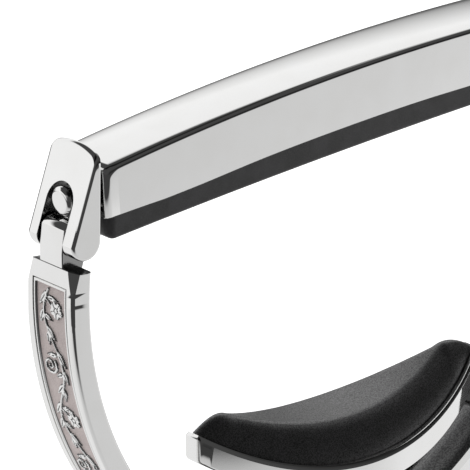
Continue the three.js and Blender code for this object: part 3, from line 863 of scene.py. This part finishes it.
def in_pocket(centre, normal):
    """True for the walls of the hinge block's slot and pocket, which get the darker steel as painted
    shade.
    """
    x, y, z = centre
    walls = abs(abs(y) - SLOT_HALF) < 0.01 and abs(normal.y) > 0.99
    roof = z > 2.0 and math.hypot(y, z - STUD_Z) < SLOT_HALF + 0.02 and x > -31.2 and abs(normal.x) < 0.2
    back = abs(x - POCKET_BACK) < 0.01 and abs(y) < SLOT_HALF
    return walls or roof or back


def build_bar_stud():
    r = 1.4
    profile = [(0, -30.2), (r - 0.35, -30.2), (r - 0.06, -29.95), (r, -29.75), (r, -29.2)]
    profile += [(r - 0.25, -29.06), (0, -29.06)]
    stud = lathe("bar_stud_visual", rounded(profile, 0.12, 4), 64, "x", (0, 0, STUD_Z))
    shank = lathe("shank", [(0, -29.1), (0.75, -29.1), (0.75, -24.8), (0, -24.8)], 32, "x", (0, 0, STUD_Z))
    combine(stud, shank, "UNION")
    return finish_steel(stud, "bar", "bar_stud")


def build_latch():
    half = YOKE_WIDTH / 2
    lever = prism("latch_lever_visual", lever_outline(), -half, half)
    tab = [(28.0, 7.2), (29.3, 5.7), (30.4, 7.1), (31.1, 8.3), (31.02, 8.7), (30.72, 8.95)]
    tab += [(30.0, 9.1), (28.9, 8.75), (28.0, 8.2)]
    combine(lever, prism("tab", tab, -half, half), "UNION")
    slot = prism("slot", [(27, -3), (33, -3), (33, 4.4), (27, 6.4)], -1.8, 1.8)
    combine(lever, slot, "DIFFERENCE")
    bevel(lever, 0.18, 3, 30)
    turn_about_y(lever, PIVOT[0], PIVOT[1], LATCH_RELEASED)
    finish_steel(lever, "latch", "latch_lever")
    roller = cross_pin("latch_roller_visual", 0.75, 2.9, 0.12, 48, (29.0, 0, 5.2))
    turn_about_y(roller, PIVOT[0], PIVOT[1], LATCH_RELEASED)
    finish_steel(roller, "latch", "latch_roller")


def build_catch():
    outline = [(27.76, 2.65), (29.2, 2.65), (29.75, 2.85), (30.0, 3.25), (30.0, 4.3), (29.7, 4.6)]
    outline += arc_points(29.0, 5.2, 0.9, -48, -132, 16)
    outline += [(27.76, 4.6)]
    catch = prism("catch_tongue_visual", outline, -1.4, 1.4)
    bevel(catch, 0.14, 3, 30)
    finish_steel(catch, "bar", "catch_tongue")


# ---------------------------------------------------------------- string bar and pad
def end_drop(x, length, height):
    """How far an outline has fallen at x, where an ellipse rounds the bar's end."""
    near = max(length - (BAR_HALF - abs(x)), 0.0) / length
    return height * (1 - math.sqrt(max(1 - near**2, 0.0)))


def bar_bottom(x):
    """Underside of the bar: an arch that straightens towards its ends."""
    dip = 0.14 * math.exp(-(((abs(x) - 17.0) / 6.0) ** 2))
    lift = 0.3 * max(abs(x) - 21.0, 0.0) / 6.7
    return arch(BAR_BOTTOM, x) - dip + lift


def bar_stations():
    ends = [BAR_HALF - 1.55 * (1 - math.cos(a)) for a in np.linspace(0.0, math.pi / 2, 26)]
    middle = np.linspace(ends[-1], -ends[-1], 121)[1:-1]
    return sorted([-e for e in ends] + list(middle) + ends)


def corner_inset(x, half_length, radius):
    """How far a bar's side stands in at x, from its rounded plan corners."""
    return edge_inset(half_length - abs(x), radius)


def build_string_bar():
    rings = []
    for x in bar_stations():
        half = BAR_WIDTH / 2 - corner_inset(x, BAR_HALF, 0.6)
        low = bar_bottom(x)
        side_top = arch(BAR_EDGE, x) - 0.12 - end_drop(x, 1.7, 2.3)
        crown = arch(BAR_EDGE, x) + 0.42 - end_drop(x, 0.8, 0.45)
        ring = [(-half + 0.1, low), (half - 0.1, low), (half, low + 0.1)]
        for side in (1, -1):
            for q in np.linspace(0, BAR_CORNER_TURN, 11)[::side]:
                y = half - BAR_EDGE_RADIUS * (1 - math.cos(q))
                share = math.sin(q) / math.sin(BAR_CORNER_TURN)
                ring.append((side * y, side_top + (crown - side_top) * share))
            if side > 0:
                reach = half - BAR_EDGE_RADIUS * (1 - math.cos(BAR_CORNER_TURN))
                for y in np.linspace(reach, -reach, 31)[1:-1]:
                    part = y / reach
                    ring.append((y, crown + 0.2 * (1 - part**2) + 0.07 * (1 - part**8)))
        ring.append((-half, low + 0.1))
        rings.append([(x, y, z) for y, z in ring])
    bar = loft("string_bar_visual", rings)
    return finish_steel(bar, "bar", "string_bar", sharp=50)


def build_string_pad():
    length = STRING_PAD_HIGH[0]
    end_radius, plan_radius = 0.75, 0.9
    steps = np.linspace(0.1, math.pi / 2, 16)
    ends = [length - plan_radius * (1 - math.cos(a)) for a in steps]
    xs = sorted([-e for e in ends] + list(np.linspace(ends[-1], -ends[-1], 91)[1:-1]) + ends)
    rings = []
    for x in xs:
        half = STRING_PAD_HIGH[1] - corner_inset(x, length, plan_radius)
        low = arch((0.0, 900.0), x) + corner_inset(x, length, end_radius)
        top = bar_bottom(x) - 0.06
        radius = 0.35
        ring = [(half, top), (-half, top)]
        for side in (-1, 1):
            turns = np.radians(np.linspace(90, 0, 7) if side < 0 else np.linspace(0, 90, 7))
            for q in turns:
                y = half - radius + radius * math.sin(q)
                ring.append((side * y, low + radius * (1 - math.cos(q))))
        rings.append([(x, y, z) for y, z in ring])
    pad = loft("string_pad_visual", rings)
    finish_piece(pad, "bar", [STRIP_SILICONE], ["string_pad"], sharp=50)


# ---------------------------------------------------------------- saddle
def saddle_half_width(x):
    ax = min(abs(x), SADDLE_HALF_LENGTH)
    return SADDLE_HALF_WIDTH - (SADDLE_PLAN_RADIUS - math.sqrt(SADDLE_PLAN_RADIUS**2 - ax * ax))


def saddle_outline(inset, count=64, nose=0.3):
    """Plan of the saddle as points (x, y), anticlockwise, with small rounded noses at its ends."""
    end = SADDLE_HALF_LENGTH - inset
    points = []
    xs = [end * math.sin(a) for a in np.linspace(-math.pi / 2, math.pi / 2, count)]
    for x in xs:
        half = saddle_half_width(x / end * SADDLE_HALF_LENGTH) - inset
        left = end - abs(x)
        if left < nose:
            half -= nose - math.sqrt(max(nose**2 - (nose - left) ** 2, 0))
        points.append((x, -max(half, 0.05)))
    return points + [(x, -y) for x, y in points[::-1]]


def build_tray():
    """The tray's wall follows its plan: outer face, soft chamfer, thin lip, inner face, floor."""
    outline = [np.array(p) for p in saddle_outline(0.0, 90)]
    n = len(outline)
    normals = []
    for i in range(n):
        d = outline[(i + 1) % n] - outline[i - 1]
        d /= np.linalg.norm(d)
        normals.append(np.array([d[1], -d[0]]))
    wall = SADDLE_WALL
    profile = [(0.5, -wall), (0.2, -wall + 0.03), (0.06, -wall + 0.13), (0.0, -wall + 0.3), (0.0, -0.48)]
    profile += [(0.02, -0.44), (0.20, -0.14), (0.21, -0.08), (0.24, 0.0), (0.55, 0.03), (0.57, -0.02)]
    profile += [(0.58, -0.08), (0.58, -1.1)]
    verts = []
    for inset, drop in profile:
        for p, m in zip(outline, normals):
            q = p - m * inset
            verts.append((q[0], q[1], bowl(LIP, q[0]) + drop))
    rows = len(profile)
    faces = skin_faces(rows, n) + cap_faces(0, n) + cap_faces(rows - 1, n)
    tray = new_object("saddle_tray_visual", verts, faces)
    for low_y in (2.5, -3.6):
        foot = arc_points(0, ROCKER_Z, 1.9, 180, 360, 40)
        ear = prism("ear", [*foot, (2.6, -32.3), (-2.6, -32.3)], low_y, low_y + 1.1)
        bevel(ear, 0.15, 3, 30)
        combine(tray, ear, "UNION")
    turn_about_y(tray, 0, ROCKER_Z, SADDLE_LEAN)
    return finish_steel(tray, "saddle", "saddle_tray", sharp=35)


def pad_height(x, y):
    """Top of the saddle pad at a point of its plan: a hollow top, sloping sides and ends that run out."""
    lip = bowl(LIP, x) - 0.12
    half = max(saddle_half_width(x) - PAD_INSET, 0.3)
    side = min(max((half - abs(y)) / min(PAD_SIDE, 0.95 * half), 0.0), 1.0)
    end = min(max((SADDLE_HALF_LENGTH - PAD_END_INSET - abs(x)) / PAD_END, 0.0), 1.0)
    rise = (1 - (1 - side) ** 1.75) ** 0.8 * (1 - (1 - end) ** 1.7)
    dome = 0.12 * (1 - (y / half) ** 2)
    return lip + (bowl(PAD_TOP, min(abs(x), 16.2)) - lip) * rise + dome * rise


def build_saddle_pad():
    stretch = (SADDLE_HALF_LENGTH - PAD_END_INSET) / (SADDLE_HALF_LENGTH - PAD_INSET)
    outline = [np.array((x * stretch, y)) for x, y in saddle_outline(PAD_INSET, 120, 0.7)]
    n = len(outline)
    fractions = [0, 0.004, 0.015, 0.03, 0.06, 0.1, 0.15, 0.21, 0.28]
    fractions += [0.35, 0.42, 0.49, 0.56, 0.64, 0.72, 0.81, 0.9, 1.0]
    verts = [(p[0], p[1], bowl(LIP, p[0]) - 1.0) for p in outline]
    for f in fractions:
        for p in outline:
            x = p[0] * (1 - 0.06 * f)
            y = p[1] * (1 - 0.985 * f)
            verts.append((x, y, pad_height(x, y)))
    rows = len(fractions) + 1
    faces = skin_faces(rows, n) + cap_faces(0, n) + cap_faces(rows - 1, n)
    pad = new_object("saddle_pad_visual", verts, faces)
    turn_about_y(pad, 0, ROCKER_Z, SADDLE_LEAN)
    finish_piece(pad, "saddle", [SILICONE], ["saddle_pad"], sharp=80, flat_faces=False)


def build_rocker():
    pin = cross_pin("saddle_pin_visual", 0.8, 3.9, 0.15, 48, (0, 0, ROCKER_Z))
    finish_steel(pin, "saddle", "saddle_pin")
    crown = arc_points(0, ROCKER_Z, 1.85, 0, 180, 40)
    housing = prism("swivel_housing_visual", [*crown, (-1.85, -37.5), (1.85, -37.5)], -2.3, 2.3)
    disc = lathe("disc", rounded(block_profile(0, 4.0, -38.4, -36.7), 0.25), 96)
    combine(housing, disc, "UNION")
    bevel(housing, 0.14, 3, 40)
    finish_steel(housing, "carrier", "swivel_housing")
    retainer = cross_pin("screw_retainer_visual", 0.4, 3.2, 0.1, 32, (1.85, 0, -37.75))
    finish_piece(retainer, "carrier", [STEEL_DARK], ["screw_retainer"])
    washer = lathe("thrust_washer_visual", rounded(block_profile(1.75, 3.0, -38.8, -38.45), 0.08, 3), 72)
    finish_piece(washer, "carrier", [BRASS], ["thrust_washer"])


# ---------------------------------------------------------------- screw and knob
def build_screw():
    """The screw with a real helical thread: a profile in Z repeated each pitch and wound round."""
    pitch = 1.0
    root, crest = 2.02, 2.5
    segments = 48
    z_low, z_high = -56.6, -39.1
    per_turn = [(0.0, root), (0.14, root), (0.44, crest), (0.56, crest), (0.86, root)]
    turns = int((z_high - z_low) / pitch)
    verts, faces = [], []
    rows = turns * len(per_turn) + 1
    for s in range(segments + 1):
        a = 2 * math.pi * s / segments
        for row in range(rows):
            part, kind = divmod(row, len(per_turn))
            dz, r = per_turn[kind]
            height = z_low + (part + dz) * pitch + pitch * s / segments
            taper = min(1.0, max(0.0, height - z_low - 0.4), max(0.0, z_high + 0.3 - height))
            r = root + (r - root) * taper
            verts.append((r * math.cos(a), r * math.sin(a), height))
    for s in range(segments):
        for row in range(rows - 1):
            a, b = s * rows + row, (s + 1) * rows + row
            faces.append((a, b, b + 1, a + 1))
    thread = new_object("adjusting_screw_visual", verts, faces)
    profile = [(0, SCREW_LOW[2]), (2.5, SCREW_LOW[2]), (2.5, -57.0), (2.06, -56.2), (2.06, -39.3)]
    profile += [(2.3, -38.9), (1.6, -38.9), (1.6, -38.25), (1.25, -38.25), (1.25, -37.25)]
    profile += [(1.6, -37.25), (1.6, -37.05), (0, -37.05)]
    core = lathe("core", profile, 48)
    joined = bmesh.new()
    joined.from_mesh(thread.data)
    joined.from_mesh(core.data)
    joined.to_mesh(thread.data)
    joined.free()
    bpy.data.objects.remove(core)
    return finish_steel(thread, "screw", "adjusting_screw", sharp=50)


def build_bushing():
    profile = [(2.63, -47.0), (4.6, -47.0), (4.6, -46.26), (3.5, -46.26), (3.5, -40.7), (2.63, -40.7)]
    bushing = lathe("screw_bushing_visual", rounded(profile, 0.15, 4), 96)
    return finish_piece(bushing, "yoke", [BRASS], ["screw_bushing"])


def build_knob():
    low, high = KNOB_LOW[2], KNOB_HIGH[2]
    radius = KNOB_HIGH[0]
    profile = [(2.35, low), (4.6, low), (4.8, low + 0.25), (6.6, low + 0.25), (6.8, low)]
    profile += [(radius - 0.6, low), (radius, low + 0.6), (radius, high - 0.6), (radius - 0.6, high)]
    profile += [(4.2, high), (4.0, high - 0.3), (2.58, high - 0.3), (2.58, low + 1.7), (2.35, low + 1.7)]
    core = lathe("knob_core_visual", rounded(profile, 0.18, 4), 144)
    finish_steel(core, "screw", "knob_core")
    ribs, per_rib = 20, 16
    outer_radius = GRIP_HIGH[0]
    g_low, g_high = GRIP_LOW[2], GRIP_HIGH[2]
    levels = [(8.25, g_low), (8.7, g_low + 0.02), (9.1, g_low + 0.12), (9.5, g_low + 0.45)]
    levels += [(9.8, g_low + 1.0), (9.8, g_low + 2.4), (9.8, g_high - 2.4)]
    levels += [(r, g_low + g_high - z) for r, z in levels[4::-1]]
    verts, faces = [], []
    count = ribs * per_rib
    for r, z in levels:
        for k in range(count):
            a = 2 * math.pi * k / count
            wave = 0.5 + 0.5 * math.cos(ribs * a)
            cut = 0.62 * (1 - wave) ** 1.6 * min(1.0, max(0.0, (r - 8.4) / 1.3))
            rr = (r - cut) * outer_radius / 9.8
            verts.append((rr * math.cos(a), rr * math.sin(a), z))
    rows = len(levels)
    for row in range(rows):
        nxt = (row + 1) % rows
        for k in range(count):
            m = (k + 1) % count
            faces.append((row * count + k, row * count + m, nxt * count + m, nxt * count + k))
    grip = new_object("knob_grip_visual", verts, faces)
    finish_piece(grip, "screw", [RUBBER], ["knob_grip"], sharp=50)
    profile = [(0, low + 0.2), (2.2, low + 0.2), (2.2, low + 1.64), (1.2, low + 1.64)]
    profile += [(1.2, -58.6), (0, -58.6)]
    screw = lathe("knob_screw_visual", rounded(profile, 0.25, 4), 64)
    hexagon = [(math.cos(a), math.sin(a)) for a in np.radians(range(0, 360, 60))]
    socket = loft("socket", [[(x, y, z) for x, y in hexagon] for z in (low - 0.3, low + 1.0)])
    combine(screw, socket, "DIFFERENCE")
    finish_piece(screw, "screw", [STEEL_DARK], ["knob_screw"])


build_yoke()
for which in (-1, 1):
    build_panel(which)
    build_liner(which)
build_bushing()
build_hinge_block()
build_bar_stud()
build_string_bar()
build_string_pad()
build_catch()
build_latch()
build_tray()
build_saddle_pad()
build_rocker()
build_screw()
build_knob()
for hidden in ("hinge_pin", "latch_pin", "catch_stud"):
    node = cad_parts[hidden]
    node.data.materials.clear()
    node.data.materials.append(STEEL)


# ---------------------------------------------------------------- studio
def value_ramp(nodes, stops):
    """A grey ramp through (position, value) stops; the first and last are its ends."""
    node = nodes.new("ShaderNodeValToRGB")
    elements = node.color_ramp.elements
    elements[0].position, elements[1].position = stops[0][0], stops[-1][0]
    for position, _ in stops[1:-1]:
        elements.new(position)
    for element, (_, value) in zip(elements, stops):
        element.color = (value, value, value, 1)
    return node


def arithmetic(nodes, links, operation, first, second, clamp=False):
    node = nodes.new("ShaderNodeMath")
    node.operation = operation
    node.use_clamp = clamp
    for socket, value in zip(node.inputs, (first, second)):
        if isinstance(value, (int, float)):
            socket.default_value = value
        else:
            links.new(value, socket)
    return node.outputs["Value"]


def coordinates(nodes, links, kind):
    """The X, Y and Z outputs of a texture coordinate."""
    where = nodes.new("ShaderNodeTexCoord")
    split = nodes.new("ShaderNodeSeparateXYZ")
    links.new(where.outputs[kind], split.inputs["Vector"])
    return split.outputs


def camera_sees(nodes, links, seen, reflected):
    """One shader for the camera and another for everything that reflects."""
    path = nodes.new("ShaderNodeLightPath")
    pick = nodes.new("ShaderNodeMixShader")
    links.new(path.outputs["Is Camera Ray"], pick.inputs["Fac"])
    links.new(reflected, pick.inputs[1])
    links.new(seen, pick.inputs[2])
    return pick.outputs["Shader"]


def make_floor():
    """A white table: plain to the camera, and graded from front to back in what the steel reflects."""
    size = 3.0
    level = cad_box[0][2] - 0.0002
    corners = [(-size, -size, level), (size, -size, level), (size, size, level), (-size, size, level)]
    mesh = bpy.data.meshes.new("floor")
    mesh.from_pydata(corners, [], [(0, 1, 2, 3)])
    floor = add_object("floor", mesh)
    made, nodes, links = material("pale_floor")
    shader = nodes["Principled BSDF"]
    shader.inputs["Base Color"].default_value = (0.9, 0.9, 0.9, 1)
    shader.inputs["Roughness"].default_value = 0.9
    shader.inputs["Emission Color"].default_value = (1, 1, 1, 1)
    shader.inputs["Emission Strength"].default_value = 0.85
    at = coordinates(nodes, links, "Object")
    away_x = arithmetic(nodes, links, "MULTIPLY", at["X"], -math.sin(math.radians(AZIMUTH)))
    away_y = arithmetic(nodes, links, "MULTIPLY_ADD", at["Y"], math.cos(math.radians(AZIMUTH)))
    links.new(away_x, away_y.node.inputs[2])
    along = arithmetic(nodes, links, "ADD", away_y, 0.5)
    table = value_ramp(nodes, FLOOR_STOPS)
    links.new(along, table.inputs["Fac"])
    glow = nodes.new("ShaderNodeEmission")
    links.new(table.outputs["Color"], glow.inputs["Color"])
    surface = camera_sees(nodes, links, shader.outputs["BSDF"], glow.outputs["Emission"])
    links.new(surface, nodes["Material Output"].inputs["Surface"])
    mesh.materials.append(made)


# brightness of the table at (metres away from the camera + 0.5), as the steel sees it
FLOOR_STOPS = [(0.385, 0.05), (0.415, 0.58), (0.44, 0.68), (0.475, 0.74)]
FLOOR_STOPS += [(0.505, 0.92), (0.71, 0.95), (0.75, 0.10)]
# brightness of the back wall by height, leaning up to the left
ROOM_STOPS = [(0.30, 0.10), (0.44, 0.16), (0.50, 0.50), (0.56, 0.82)]
ROOM_STOPS += [(0.61, 1.05), (0.66, 1.02), (0.90, 0.99)]

# what is left of the wall's brightness in front of the object and straight above it
DARK_ROOM = 0.06


def make_world():
    """A white studio: a bright wall behind and above, a dark room in front, plain white to the camera."""
    world = bpy.data.worlds.new("studio")
    world.use_nodes = True
    bpy.context.scene.world = world
    nodes, links = world.node_tree.nodes, world.node_tree.links
    nodes.clear()
    at = coordinates(nodes, links, "Generated")
    lean = arithmetic(nodes, links, "MULTIPLY", at["X"], -0.3)
    height = arithmetic(nodes, links, "ADD", at["Z"], lean)
    half = arithmetic(nodes, links, "MULTIPLY", height, 0.5)
    wall = value_ramp(nodes, ROOM_STOPS)
    links.new(arithmetic(nodes, links, "ADD", half, 0.5), wall.inputs["Fac"])
    behind = map_range(nodes, links, at["Y"], (-0.38, 0.12), DARK_ROOM, smooth=True)
    tilt = arithmetic(nodes, links, "MULTIPLY", at["X"], -0.2)
    overhead = arithmetic(nodes, links, "ADD", at["Z"], tilt)
    ceiling = map_range(nodes, links, overhead, (0.70, 0.60), DARK_ROOM, smooth=True)
    both = arithmetic(nodes, links, "MULTIPLY", behind, ceiling)
    light = arithmetic(nodes, links, "MULTIPLY", wall.outputs["Color"], both)
    studio = nodes.new("ShaderNodeBackground")
    links.new(light, studio.inputs["Color"])
    plain = nodes.new("ShaderNodeBackground")
    plain.inputs["Color"].default_value = (1, 1, 1, 1)
    surface = camera_sees(nodes, links, plain.outputs["Background"], studio.outputs["Background"])
    out = nodes.new("ShaderNodeOutputWorld")
    links.new(surface, out.inputs["Surface"])


def make_light(name, place, size, power, glossy):
    data = bpy.data.lights.new(name, "AREA")
    data.shape = "RECTANGLE"
    data.size, data.size_y = size
    data.energy = power
    light = add_object(name, data)
    light.location = place
    light.rotation_mode = "QUATERNION"
    light.rotation_quaternion = Vector(place).to_track_quat("Z", "Y")
    light.visible_glossy = glossy


make_floor()
make_world()
make_light("overhead_softbox", (-0.15, 0.25, 0.55), (0.5, 0.4), 2.0, False)
bpy.context.scene.view_settings.view_transform = "Standard"
bpy.context.scene.view_settings.look = "None"
